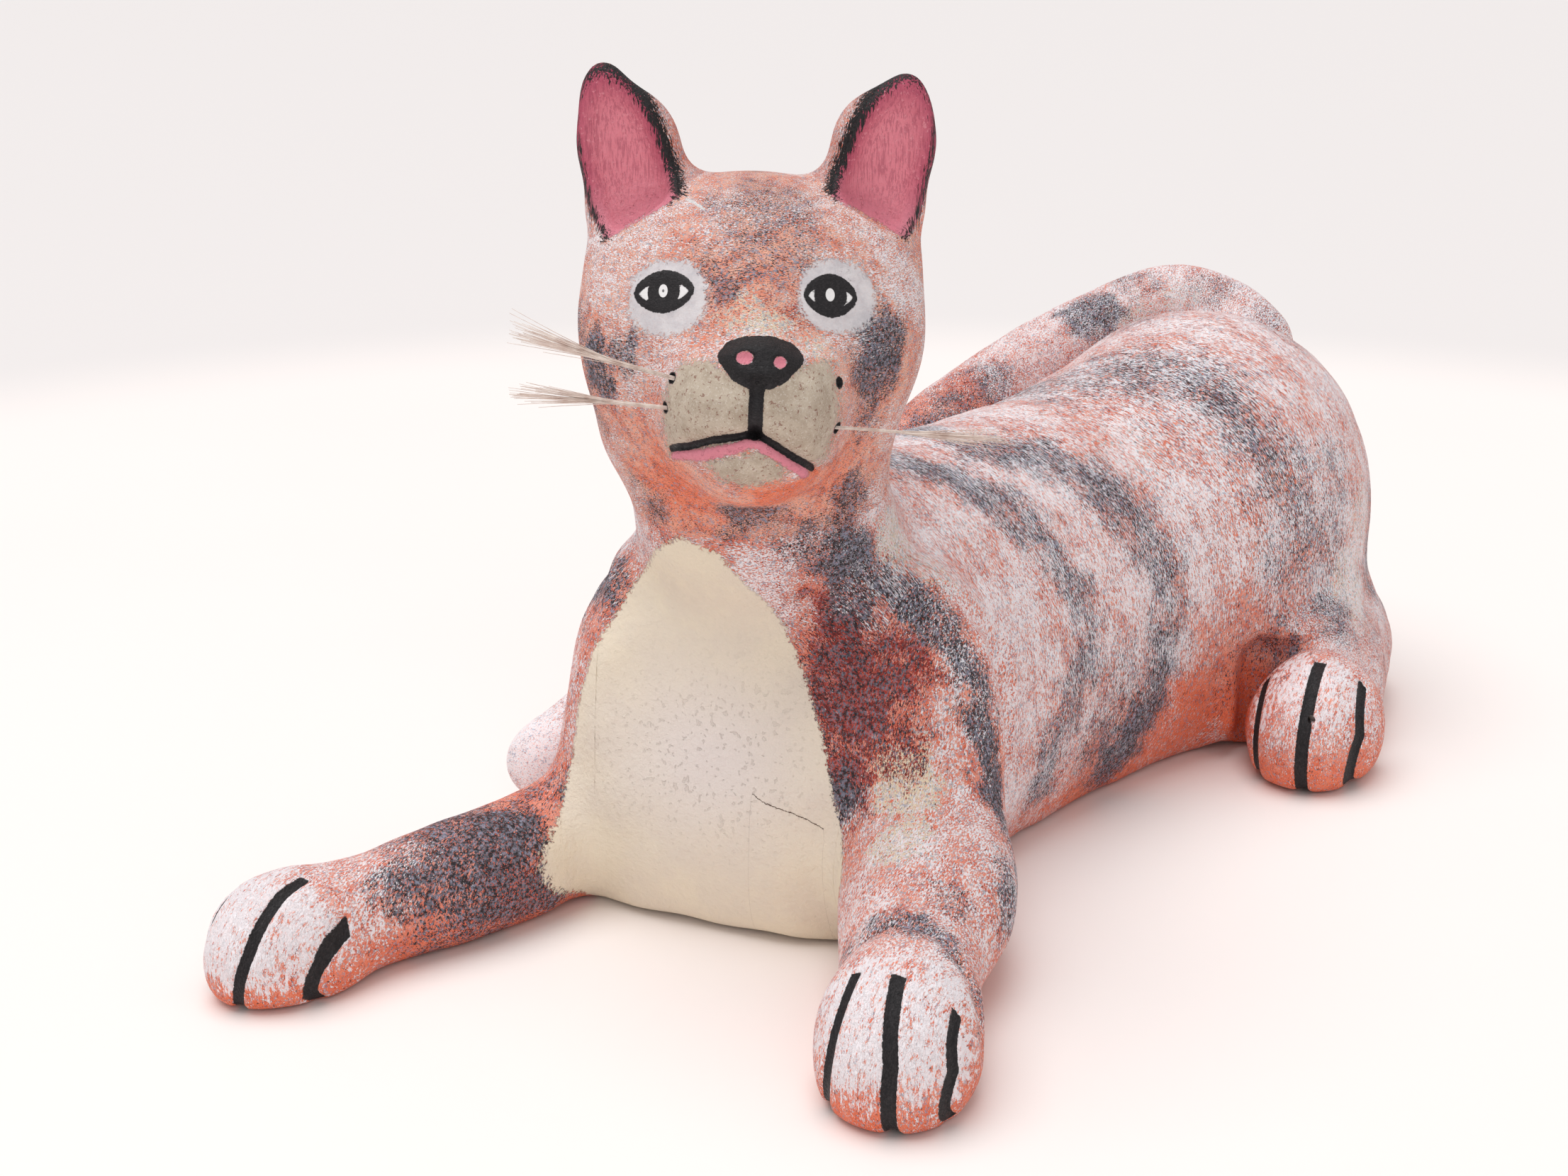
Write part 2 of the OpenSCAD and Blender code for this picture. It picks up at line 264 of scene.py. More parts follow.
# ---- The face, seen square on ----
# u runs to the cat's left and v upwards, both in mm from the middle of the nose.
NOSE = (1.2, 120.8)
EYES = {"right": (-20.1, 15.9, 6.4, 4.6), "left": (14.4, 14.9, 5.6, 4.7)}
NOSE_EDGE = [(-6.4, 1.2), (-5.4, 2.5), (-2.6, 3.2), (2.0, 3.2), (5.2, 2.2), (6.4, 0.8), (3.8, -2.2),
             (1.6, -3.3), (-2.0, -3.3), (-4.2, -2.0)]
BRIDGE = [(-0.5, 5), (-2.0, 18)]
NOSTRILS = [(-3.2, 0.7, 1.8, 1.45), (3.9, -0.2, 1.35, 1.3)]
PHILTRUM = [(-0.7, -4.5), (-1.2, -14.2)]
MOUTH = [[(-1.2, -14.2), (-4.5, -14.9), (-10, -15.4), (-14.5, -16.3), (-18.4, -16.3)],
         [(-1.0, -14.2), (2.4, -16.3), (6.5, -18.7), (10.3, -20.5)]]
LIP = [(-17.6, -17.6), (-11.8, -18.3), (-5.4, -17.2), (-1.6, -15.8), (2.8, -18.2), (8.6, -21.6)]
MUZZLE_EDGE = [(-15.5, -0.8), (-10.8, -0.6), (-7.2, -3.2), (-3.0, -5.2), (3.2, -5.2), (7.2, -2.6),
               (12.6, -0.4), (14.6, -4.2), (14.8, -10.5), (12.2, -18.0), (9.5, -19.2), (2.6, -16.4),
               (-1.1, -14.4), (-10, -15.4), (-18.0, -16.0), (-19.0, -11.0), (-18.2, -5.0)]
CHIN_EDGE = [(-11.0, -19.6), (-4.5, -18.6), (0.5, -18.0), (5.0, -21.2), (3.4, -23.2), (-3.0, -24.4),
             (-8.4, -22.8)]


def to_face(x, y, z):
    hx, hy, hz = to_head(x, y, z)
    v = hz * math.cos(VIEW_TILT) + hy * math.sin(VIEW_TILT)
    return hx - NOSE[0], v - NOSE[1], hy


def polygon(u, v, corners, rounding=0.0):
    """Signed distance to a closed outline, negative inside."""
    best = np.full(u.shape, 1e9)
    inside = np.zeros(u.shape, bool)
    for (ax, ay), (bx, by) in zip(corners, corners[1:] + corners[:1]):
        best = np.minimum(best, segment(u, v, ax, ay, bx, by))
        crosses = (ay > v) != (by > v)
        slope = (bx - ax) * (v - ay) / (by - ay if by != ay else 1e-9) + ax
        inside ^= crosses & (u < slope)
    return np.where(inside, -best, best) - rounding


def segment(u, v, ax, ay, bx, by):
    ex, ey = bx - ax, by - ay
    t = np.clip(((u - ax) * ex + (v - ay) * ey) / (ex * ex + ey * ey), 0, 1)
    return np.hypot(u - ax - t * ex, v - ay - t * ey)


def line(u, v, points):
    """Distance to an open line through the points."""
    best = np.full(u.shape, 1e9)
    for (ax, ay), (bx, by) in zip(points, points[1:]):
        best = np.minimum(best, segment(u, v, ax, ay, bx, by))
    return best


def oval(u, v, cu, cv, ru, rv, power=2.0):
    """Rough signed distance to an oval; a power below 2 makes its ends pointed."""
    k = (np.abs((u - cu) / ru) ** power + np.abs((v - cv) / rv) ** power) ** (1 / power)
    return (k - 1) * np.minimum(ru, rv)


def near_line(p, points):
    """Distance in space to an open line through the points."""
    best = np.full(len(p), 1e9)
    for a, b in zip(points, points[1:]):
        a, b = np.array(a, float), np.array(b, float)
        t = np.clip((p - a) @ (b - a) / ((b - a) @ (b - a)), 0, 1)
        best = np.minimum(best, np.linalg.norm(p - a - t[:, None] * (b - a), axis=1))
    return best


# ---- Paws ----
# The middle of each paw and its toe lines. For each line: where it lies across the paw at its
# bottom, middle and top, the angle of its top end and its width. Angles go up from straight
# ahead over the paw.
PAWS = [
    # left foreleg
    ((66.5, -176, 10),
     [(-9.5, -7.8, -6.5, 74, 2.5), (5.4, 5.6, 2.6, 74, 3.1), (14.0, 15.2, 13.5, 80, 2.4)]),
    # right foreleg
    ((-75, -184.5, 8),
     [(-1.0, 3.0, 5.2, 97, 2.7), (12.5, 14.6, 16.0, 104, 3.0), (-13.0, -12.5, -10.0, 80, 2.4)]),
    # left hind paw
    ((101, 40, 11),
     [(-11.0, -12.0, -13.0, 76, 2.6), (2.0, 2.0, 1.0, 80, 3.3), (12.5, 14.5, 12.0, 86, 2.9)]),
    # right hind paw
    ((-27, 36, 11),
     [(-12.5, -14.0, -12.0, 84, 2.8), (-1.0, -1.0, 0.0, 80, 3.2), (11.5, 12.5, 12.5, 78, 2.7)]),
]


def arc(x):
    """How far round a paw a place is, from how far across it is."""
    return 19 * np.arcsin(np.clip(x / 19, -0.97, 0.97))


def toe_lines(p):
    """Signed distance to the black toe lines."""
    best = np.full(len(p), 99.0)
    for centre, lines in PAWS:
        d = p - np.array(centre)
        close = np.abs(d).max(1) < 34
        if not close.any():
            continue
        q = d[close]
        angle = np.degrees(np.arctan2(q[:, 2], -q[:, 1]))
        around = np.hypot(q[:, 1], q[:, 2])
        for low, middle, top, end, width in lines:
            across = np.interp(angle, [-30, 20, end], [low, middle, top])
            beside = np.abs(arc(q[:, 0]) - arc(across)) - width / 2
            beyond = around * np.radians(angle - end)
            behind = around * np.radians(-60 - angle)
            here = np.maximum(beside, np.maximum(beyond, behind))
            best[close] = np.minimum(best[close], here)
    return best


# ---- Ears ----
EARS = {"left": (28.6, -5.2, 175.0, 0.30), "right": (-28.8, -5.2, 176.2, -0.28)}
HOLLOW = (9.3, 7.4, 19.0)


def ear_hollow(hx, hy, hz, side):
    mx, my, mz, lean = EARS[side]
    return blob(hx, hy, hz, (mx, my, mz), HOLLOW, lean)


def ear_face(hx, hz, side):
    """How far across (towards the crown) and up an ear's front, from the middle of its hollow."""
    mx, _, mz, lean = EARS[side]
    c, s = math.cos(lean), math.sin(lean)
    dx, dz = hx - mx, hz - mz
    return -SIDES[side] * (c * dx - s * dz), s * dx + c * dz


# ---- Carving ----
def relief(p):
    """How far the carved detail stands out of the plain form, in mm."""
    x, y, z = p.T
    out = 0.16 * waves(x, y, z, 7, 3) + 0.22 * waves(x, y, z, 17, 4)
    toes = toe_lines(p)
    out -= 0.8 * smooth(-toes, -0.8, 1.0)
    wrist = y + 160.5 + 0.03 * (x - 65) ** 2
    out -= 0.9 * np.exp(-((wrist / 2.4) ** 2)) * smooth(z, 6, 14) * (x > 30)
    head = (z > 90) & (y < -60)
    if head.any():
        u, v, depth = to_face(x[head], y[head], z[head])
        front = smooth(-depth, 12, 22)
        nose = polygon(u, v, NOSE_EDGE, 2.2)
        add = 2.6 * smooth(-nose, -1.4, 3.4)
        add += 1.0 * np.exp(-((line(u, v, BRIDGE) / 5.0) ** 2))
        for cu, cv, ru, rv in NOSTRILS:
            add -= 0.9 * smooth(-oval(u, v, cu, cv, ru, rv), -0.5, 1.0)
        add -= 1.3 * smooth(-(line(u, v, PHILTRUM) - 1.3), -1.2, 1.2)
        for way in MOUTH:
            add -= 1.5 * smooth(-(line(u, v, way) - 0.8), -1.1, 0.9)
        add += 0.6 * smooth(-(line(u, v, LIP) - 1.0), -0.8, 0.8)
        pads = polygon(u, v, MUZZLE_EDGE, 0.0)
        add += 3.4 * smooth(-pads, -8.0, 7.0)
        add += 1.6 * smooth(-polygon(u, v, CHIN_EDGE, 0.0), -5.0, 4.0)
        for cu, cv, ru, rv in EYES.values():
            add += 0.45 * smooth(-oval(u, v, cu, cv, ru, rv, 1.8), -1.6, 1.2)
            add -= 1.3 * np.exp(-(((u - cu) / 8.5) ** 2 + ((v - cv) / 7.5) ** 2))
        out[head] += add * front
    return out


def carve(grid, field):
    """The field with its carved detail, worked out close to the surface only."""
    close = np.abs(field) < 6
    at = np.argwhere(close)
    p = grid.low + grid.step * at
    values = field[close] - relief(p)
    hx, hy, hz = to_head(*p.T)
    for side in SIDES:
        at, way = ear_plane(side)
        hollow = ear_hollow(hx, hy, hz, side) + 3.5 * smooth(-(p - at) @ way, -1, 4)
        values = np.where(np.abs(hollow) < 12, -melt(-values, hollow, 1.6), values)
    field = field.copy()
    field[close] = values
    return field


# ---- Forms ----
def whole_figure():
    """The figure and its tail, as two fields on one coarse grid."""
    names = FIGURE + HIND + ["tail"]
    low = np.min([np.array(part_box(n)[0]) for n in names], 0) / MM - 16
    high = np.max([np.array(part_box(n)[1]) for n in names], 0) / MM + 16
    grid = Grid(low, high, BASE_STEP)
    band = FILLET + 5 * BASE_STEP
    body = grid.level(*node_mesh(FIGURE[0]), band)
    for name in FIGURE[1:]:
        body = np.minimum(body, grid.level(*node_mesh(name), band))
    body = grid.closed(body, FILLET)
    tail = grid.level(*node_mesh("tail"), band)
    x, y, z = grid.axes()
    root = np.sqrt((x - tail_at[0]) ** 2 + (y - tail_at[1]) ** 2 + (z - tail_at[2]) ** 2)
    rise = (x - tail_at[0]) * tail_way[0] + (y - tail_at[1]) * tail_way[1] + (z - tail_at[2]) * tail_way[2]
    share = 1 - smooth(root, ROOT_FULL, ROOT_END)
    joined = softened(melt(body, tail, 9.0), SOFTEN / BASE_STEP)
    for name in HIND:
        body = np.minimum(body, grid.level(*node_mesh(name), band))
    body = softened(body, SOFTEN / BASE_STEP)
    tail = softened(tail, SOFTEN / BASE_STEP)
    chest = np.exp(-(((x + 3) / 22) ** 4 + ((y + 124) / 14) ** 4 + ((z - 35) / 42) ** 4))
    body = body * (1 - chest) + softened(body, 4.0 / BASE_STEP) * chest
    ground = -z + 0 * body
    body = np.maximum(body * (1 - share) + np.maximum(joined, rise) * share, ground)
    tail = tail * (1 - share) + np.maximum(joined, TAIL_GAP - rise) * share
    return grid, body, tail


# ---- Pieces ----
def new_object(name, mesh):
    piece = bpy.data.objects.new(name, mesh)
    bpy.context.collection.objects.link(piece)
    return piece


def mesh_from(name, points, faces):
    mesh = bpy.data.meshes.new(name)
    mesh.from_pydata((points * MM).tolist(), [], faces)
    mesh.update()
    return mesh


def half_space(at, way):
    """A big box whose one face is the plane through at, reaching along way."""
    solid = bmesh.new()
    bmesh.ops.create_cube(solid, size=BIG)
    turn = Vector(way).to_track_quat("Z", "Y").to_matrix().to_4x4()
    move = Matrix.Translation(Vector(at)) @ turn @ Matrix.Translation((0, 0, BIG / 2))
    solid.transform(Matrix.Scale(MM, 4) @ move)
    return solid


def corner_box(low, high):
    solid = bmesh.new()
    bmesh.ops.create_cube(solid, size=1)
    low, high = Vector(low), Vector(high)
    size = high - low
    move = Matrix.Translation((low + high) / 2) @ Matrix.Diagonal((*size, 1))
    solid.transform(Matrix.Scale(MM, 4) @ move)
    return solid


def rod(at, way, radius, length, sides=48):
    """A round rod centred on at."""
    solid = bmesh.new()
    bmesh.ops.create_cone(
        solid, cap_ends=True, segments=sides, radius1=radius, radius2=radius, depth=length)
    turn = Vector(way).to_track_quat("Z", "Y").to_matrix().to_4x4()
    solid.transform(Matrix.Scale(MM, 4) @ Matrix.Translation(Vector(at)) @ turn)
    return solid


def cut(piece, solid, operation):
    """The piece less the solid, or what both have in common."""
    mesh = bpy.data.meshes.new("cutter")
    solid.to_mesh(mesh)
    solid.free()
    cutter = new_object("cutter", mesh)
    modifier = piece.modifiers.new("cut", "BOOLEAN")
    modifier.operation = operation
    modifier.solver = "MANIFOLD"
    modifier.object = cutter
    bpy.context.view_layer.update()
    result = bpy.data.meshes.new_from_object(piece.evaluated_get(bpy.context.evaluated_depsgraph_get()))
    piece.modifiers.clear()
    old = piece.data
    piece.data = result
    bpy.data.meshes.remove(old)
    bpy.data.objects.remove(cutter)
    bpy.data.meshes.remove(mesh)
    return piece


def main_body(mesh):
    """Drop every loose island but the largest."""
    work = bmesh.new()
    work.from_mesh(mesh)
    seen, islands = set(), []
    for start in work.verts:
        if start.index in seen:
            continue
        seen.add(start.index)
        stack, island = [start], []
        while stack:
            v = stack.pop()
            island.append(v)
            for e in v.link_edges:
                o = e.other_vert(v)
                if o.index not in seen:
                    seen.add(o.index)
                    stack.append(o)
        islands.append(island)
    islands.sort(key=len)
    for island in islands[:-1]:
        bmesh.ops.delete(work, geom=island, context="VERTS")
    if len(islands) > 1:
        work.to_mesh(mesh)
    work.free()


def carved_piece(name, base_grid, base, low, high, step, less, only):
    """One piece of the figure: the blended form near it, carved, then cut at its joints."""
    grid = Grid(low, high, step)
    field = carve(grid, softened(base_grid.sample(base, grid), 0.8))
    points, quads = grid.surface(field)
    mesh = mesh_from(name, points, quads[:, ::-1].tolist())
    mesh.validate()
    piece = new_object(name, mesh)
    if only is not None:
        cut(piece, only, "INTERSECT")
    for solid in less:
        cut(piece, solid, "DIFFERENCE")
    main_body(piece.data)
    return piece


# ---- Paint layout ----
# Soft dark strokes: places along each one, its half width and how dense its paint is
BANDS = [
    ([(-44, -26, 58), (-38, -34, 80), (-20, -46, 95), (0, -52, 99), (17, -54, 98), (28, -44, 92),
      (39, -35, 83), (48, -31, 74), (54, -28, 62), (57, -28, 50), (57, -34, 40), (55, -41, 30),
      (52, -43, 18)], 6.6, 0.9),
    ([(-36, 16, 56), (-28, 6, 80), (-10, -8, 96), (10, -20, 99), (25, -23, 95), (37, -7, 90),
      (49, 1, 83), (58, 6, 74), (64, 9, 64), (68, 8, 51), (68, 6, 40), (66, 2, 27), (61, -5, 16),
      (58, -6, 9)], 7.8, 0.95),
    ([(-14, 60, 84), (0, 46, 96), (22, 38, 98), (33, 49, 102), (48, 51, 103), (64, 50, 99),
      (76, 50, 90), (85, 50, 79), (91, 52, 66), (90, 49, 56)], 10.5, 0.75),
    ([(98, 72, 80), (97, 65, 58), (92, 57, 40), (88, 51, 33), (95, 63, 33), (104, 75, 22)], 7.5, 0.55),
    ([(30, -105, 84), (41, -99, 78), (48, -98, 69), (53, -96, 59), (57, -98, 45), (60, -99, 32),
      (66, -108, 22)], 5.5, 0.95),
    ([(45, -163, 20), (52, -163, 27), (62, -161, 31), (72, -162, 27), (80, -166, 18)], 4.5, 0.7),
    ([(-40, -100, 70), (-50, -94, 58), (-54, -92, 42), (-54, -96, 24)], 5.0, 0.7),
    ([(58, 146, 70), (84, 128, 72), (98, 104, 60), (104, 96, 40)], 7.0, 0.7),
    ([(36, 148, 60), (14, 132, 62), (2, 110, 52), (-4, 96, 34)], 7.0, 0.7),
    ([(60, 148, 30), (88, 132, 30), (106, 110, 22)], 6.0, 0.6),
]
# Patches of each paint: x, y, z, radius and density
DARK_SPOTS = [
    (28, -111, 91, 9, 0.9), (20, -119, 95, 7, 0.5), (30, -110, 80, 6, 0.5), (12, 113, 106, 11, 1.0),
    (-8, 82, 90, 9, 0.55), (-30, 56, 66, 12, 0.9), (-56, -12, 34, 10, 0.8), (42, 135, 112, 9, 0.45),
    (60, 132, 104, 9, 0.4), (19, 131, 112, 8, 0.5), (38, -117, 140, 10, 0.78), (37, -118, 129, 8, 0.5),
    (35, -116, 120, 7, 0.3), (-12, -142, 139, 6, 0.7), (-22, -136, 133, 9, 0.75),
    (-27, -126, 140, 8, 0.5), (-27, -124, 122, 8, 0.4), (18, -126, 163, 12, 0.42),
    (10, -134, 156, 9, 0.34), (11, -120, 168, 12, 0.45), (4, -80, 160, 16, 0.5),
    (28, -112, 104, 8, 0.55), (12, -127, 103, 8, 0.5), (-12, -122, 104, 8, 0.4),
    (24, -86, 130, 14, 0.5), (-45, -141, 24, 10, 0.62), (-41, -148, 12, 9, 0.8),
    (-55, -167, 20, 8, 0.7), (-36, -136, 8, 8, 1.0), (-44, -128, 34, 8, 0.5), (-52, -150, 16, 18, 0.62),
    (-42, -146, 22, 9, 0.5), (-66, -160, 12, 8, 0.4), (-24, -98, 90, 9, 0.8), (-34, -104, 74, 9, 0.6),
    (72, -122, 22, 10, 0.7), (66, -145, 30, 7, 0.4), (38, -128, 16, 8, 0.5), (30, -122, 38, 6, 0.6),
    (20, -106, 100, 8, 0.3), (60, 30, 96, 10, 0.25), (30, 90, 112, 14, 0.45), (70, 100, 105, 12, 0.4),
    (100, 60, 38, 9, 0.7), (84, 50, 36, 7, 0.6), (64, -14, 36, 13, 0.45), (60, -22, 22, 12, 0.4),
    (58, -30, 62, 9, 0.3), (66, 30, 62, 10, 0.2), (-10, 52, 36, 9, 0.6), (50, 148, 100, 10, 0.5),
]
RED_SPOTS = [
    (28, -118, 74, 13, 0.95), (32, -119, 60, 12, 1.0), (32, -124, 44, 9, 0.85),
    (40, -113, 66, 12, 0.75), (42, -119, 50, 9, 0.55), (38, -110, 80, 9, 0.5), (37, -122, 28, 7, 0.5),
    (-24, -136, 124, 9, 0.35), (37, -120, 133, 8, 0.4), (26, -134, 150, 6, 0.4),
    (8, -137, 150, 8, 0.35), (-38, -140, 12, 10, 0.5), (52, -100, 30, 8, 0.35), (-15, 76, 88, 10, 0.4),
    (10, -100, 102, 12, 0.25), (86, 36, 26, 8, 0.35),
]
CREAM_SPOTS = [
    (33, -95, 92, 10, 0.75), (42, -88, 84, 9, 0.5), (46, -119, 43, 10, 0.9), (50, -134, 36, 9, 0.8),
    (103, 74, 44, 14, 0.7), (100, 84, 60, 12, 0.5), (22, 118, 106, 9, 0.6), (34, 130, 110, 8, 0.5),
    (52, 20, 88, 14, 0.3), (64, 30, 50, 12, 0.3), (28, -134, 138, 8, 0.5), (-74, -72, 8, 10, 0.8),
    (16, -138, 148, 7, 0.5), (-60, -140, 24, 10, 0.3), (40, -60, 92, 12, 0.35),
]
PALE_SPOTS = [
    (52, -62, 60, 16, 0.25), (60, -8, 60, 12, 0.2), (46, -18, 88, 12, 0.3), (76, 30, 66, 20, 0.1),
    (-76, -76, 16, 15, 1.0), (-70, -54, 20, 8, 0.3), (66, -104, 40, 8, 0.5), (90, 30, 78, 12, 0.3),
    (-30, -112, 136, 9, 0.5), (-22, -118, 160, 9, 0.55), (36, -104, 150, 9, 0.4),
    (78, -118, 16, 7, 0.5), (64, 100, 100, 16, 0.3), (55, -60, 18, 12, 0.25),
]
# Where the last pale brushing was left out
BARE_SPOTS = [
    (-42, -138, 18, 26, 1.0), (-56, -158, 10, 14, 0.8), (30, -118, 60, 20, 0.8),
    (30, -118, 88, 14, 0.5), (0, -132, 108, 22, 0.6), (24, -120, 110, 16, 0.6),
    (30, -115, 132, 12, 0.5), (-25, -132, 130, 12, 0.4), (-25, 60, 70, 26, 0.5), (80, 35, 30, 20, 0.6),
    (60, -10, 12, 20, 0.6), (56, -98, 40, 12, 0.5), (12, -132, 150, 14, 0.3), (-30, -108, 70, 14, 0.5),
]
CRACK = [(8, 13, 19, 23, 29), (37.2, 34.6, 33.4, 32.2, 29.8)]
STROKE = [(-6, -122, 168), (-3, -124, 168), (0.5, -126, 167)]
WARM_SPOTS = [
    (-4, -138, 106, 12, 0.9), (22, -136, 112, 9, 0.9), (30, -122, 112, 8, 0.5), (70, 20, 12, 20, 0.9),
    (84, 40, 12, 14, 1.0), (-38, -142, 6, 14, 0.9), (-20, -146, 112, 8, 0.5),
]
CHEST_EDGE = [(-6, 95), (-16, 89), (-26, 78), (-34, 63), (-38, 48), (-39, 31), (-37, 15),
              (-34, -4), (36, -4), (35, 24), (29.5, 37), (24.5, 52), (17, 66), (10.5, 81), (3, 92)]
EYE_PATCH = {"right": (-19.3, 14.7, 8.3, 8.0), "left": (15.8, 14.9, 8.1, 7.8)}
PAW_WASH = [
    (68, -182, 16, 19, 0.95), (-76, -190, 12, 20, 0.95), (101, 32, 20, 18, 0.85),
    (-27, 28, 20, 18, 0.85),
]


def stirred(p, amount):
    """Places moved a little, so that painted patches get uneven outlines."""
    x, y, z = p.T
    shift = [waves(x, y, z, 5, seed) + 0.6 * waves(x, y, z, 2.4, seed + 3) for seed in (11, 12, 13)]
    return p + amount * np.stack(shift, 1)


def spots(p, places):
    total = np.zeros(len(p))
    for *middle, radius, density in places:
        far = np.linalg.norm(p - np.array(middle), axis=1)
        total = np.maximum(total, density * (1 - smooth(far, 0.45 * radius, 1.35 * radius)))
    return total


def flow(p, name):
    """Coordinates in mm whose first axis runs the way the brush went."""
    x, y, z = p.T
    if name.startswith(("head", "ear")):
        hx, hy, hz = to_head(x, y, z)
        around = np.arctan2(hx, -hy) * 36
        ways = [around, hz] if name == "head" else [hz, around]
        return 1.4 * np.stack(ways + [np.hypot(hx, hy)], 1)
    if name == "torso":
        middle = 47 * (np.clip(y + 100, 0, None) / 192) ** 1.6
        around = np.arctan2(x - middle, z - 42) * 48
        return np.stack([around, y, np.hypot(x - middle, z - 42)], 1)
    if name == "tail":
        return np.stack([y - 0.6 * x, x, z], 1)
    return np.stack([z - y, x, 0.25 * (y + z)], 1)


def paint(mesh, name):
    """Write where each paint lies onto the mesh, as densities and as signed distances in mm."""
    p = np.empty(len(mesh.vertices) * 3, np.float32)
    mesh.vertices.foreach_get("co", p)
    p = p.reshape(-1, 3).astype(float) / MM
    x, y, z = p.T
    far = np.full(len(p), 9.0)
    q = stirred(p, 1.9)
    dark = spots(q, DARK_SPOTS)
    far_stirred = stirred(p, 2.7)
    uneven = 0.9 + 0.2 * waves(x, y, z, 13, 31)
    for places, half, density in BANDS:
        away = near_line(far_stirred, places)
        cover = np.clip(density * uneven, 0, 1)
        dark = np.maximum(dark, cover * (1 - smooth(away, 0.1 * half, 2.0 * half)))
    marks = {
        "dark": dark,
        "red": spots(q, RED_SPOTS),
        "cream": spots(q, CREAM_SPOTS),
        "pale": spots(q, PALE_SPOTS),
        "bare": spots(q, BARE_SPOTS),
        "warm": np.maximum(spots(q, WARM_SPOTS), 0.75 * (1 - smooth(z, 3, 16))),
        "wash": spots(q, PAW_WASH) * smooth(z, 0, 9),
        "ink": np.minimum(toe_lines(p), 9.0),
        "paler_wear_and_painted_light": np.zeros(len(p)),
        "glint_dot": np.zeros(len(p)),
    }
    for key in ("chest", "muzzle", "pink", "white", "patch", "edge", "crack", "glint_u", "glint_v"):
        marks[key] = far.copy()
    if name in ("torso", "foreleg_left", "foreleg_right"):
        front = y < -84 - 0.3 * np.abs(x)
        marks["chest"] = np.where(front & (z < 99), np.clip(polygon(x, z, CHEST_EDGE), -9, 9), far)
        marks["paler_wear_and_painted_light"] = np.exp(-(((x + 2) / 26) ** 2 + ((z - 42) / 19) ** 2)) * front
        beside = z - np.interp(x, CRACK[0], CRACK[1])
        marks["crack"] = np.where(front & (x > 9) & (x < 28), np.clip(beside, -2, 2), far)
    if name == "head":
        face(marks, *to_face(x, y, z))
        for base, way in hole_lines():
            marks["ink"] = np.minimum(marks["ink"], near_line(p, [base, base + 14 * way]) - 1.3)
        marks["white"] = np.minimum(marks["white"], near_line(p, STROKE) - 0.4)
    if name.startswith(("head", "ear")):
        hx, hy, hz = to_head(x, y, z)
        for side in SIDES:
            across, up = ear_face(hx, hz, side)
            low = smooth(-up, 0, 12)
            edge = oval(across, up + 0.4, 0, 0, HOLLOW[0] + 0.2 + 1.6 * low, HOLLOW[2] + 0.6 + 2.0 * low)
            front = (hy < EARS[side][1] + 9.5) & (hz > 152)
            at, way = ear_plane(side)
            foot = -1.4 - (p - at) @ way
            hollow = np.minimum(marks["pink"], np.maximum(edge - 0.2, foot))
            marks["pink"] = np.where(front, hollow, marks["pink"])
            inner = smooth(across, 0.5, 5.0)
            rim = np.abs(edge + 0.3 - 0.5 * inner) - (0.5 + 0.8 * inner)
            rim = np.maximum(rim, foot)
            # painted light: the lower part of each ear hollow, which faces up, is painted paler pink; the
            # same mask gives it pits
            marks["paler_wear_and_painted_light"] = np.maximum(marks["paler_wear_and_painted_light"], smooth(-up, 2, 15) * front * (edge < 1))
            marks["edge"] = np.where(front, np.minimum(marks["edge"], rim), marks["edge"])
    for key, value in marks.items():
        mesh.attributes.new(key, "FLOAT", "POINT").data.foreach_set("value", value.astype(np.float32))
    mesh.attributes.new("flow", "FLOAT_VECTOR", "POINT").data.foreach_set(
        "vector", flow(p, name).astype(np.float32).ravel())


def face(marks, u, v, depth):
    """The painted face: eyes, nose, mouth, muzzle and chin."""
    front = depth < -8
    white = np.full(u.shape, 9.0)
    ink = np.minimum(polygon(u, v, NOSE_EDGE, 2.3), line(u, v, PHILTRUM) - 1.5)
    for way in MOUTH:
        ink = np.minimum(ink, line(u, v, way) - 0.75)
    pink = np.minimum(line(u, v, LIP) - 1.15, 9.0)
    for cu, cv, ru, rv in NOSTRILS:
        hole = oval(u, v, cu, cv, ru, rv)
        ink = np.maximum(ink, -hole)
        pink = np.minimum(pink, hole)
    patch = np.full(u.shape, 9.0)
    for side, (cu, cv, ru, rv) in EYES.items():
        almond = oval(u, v, cu, cv, ru, rv, 1.75)
        iris = np.hypot(u - cu, v - cv) - 3.45
        seen = np.maximum(oval(u, v, cu, cv - 0.2, 0.81 * ru, 0.58 * rv, 1.4), -iris)
        white = np.minimum(white, seen)
        ink = np.minimum(ink, np.maximum(almond, -seen))
        close = front & (np.hypot(u - cu, v - cv) < 6)
        marks["glint_u"][close] = (u - cu + 0.1)[close]
        marks["glint_v"][close] = (v - cv - 0.2)[close]
        marks["glint_dot"][close] = side == "right"
        patch = np.minimum(patch, oval(u, v, *EYE_PATCH[side], 2.3))
    muzzle = np.minimum(polygon(u, v, MUZZLE_EDGE, 1.3), polygon(u, v, CHIN_EDGE, 0.2))
    marks["paler_wear_and_painted_light"] = np.where(front & (pink < 1), 1.0, 0.0)
    bridge = 0.75 * np.exp(-((u / 9) ** 2) - ((v - 8) / 5) ** 2)
    marks["cream"] = np.maximum(marks["cream"], np.where(front, bridge, 0))
    for key, value in {"ink": ink, "pink": pink, "white": white, "patch": patch, "muzzle": muzzle}.items():
        marks[key] = np.where(front, np.clip(value, -9, 9), 9.0)


# ---- Materials ----
def rgb(r, g, b):
    """A colour given as display values from 0 to 255."""
    shares = [c / 255 for c in (r, g, b)]
    linear = [c / 12.92 if c < 0.0404 else ((c + 0.055) / 1.055) ** 2.4 for c in shares]
    return (*linear, 1.0)


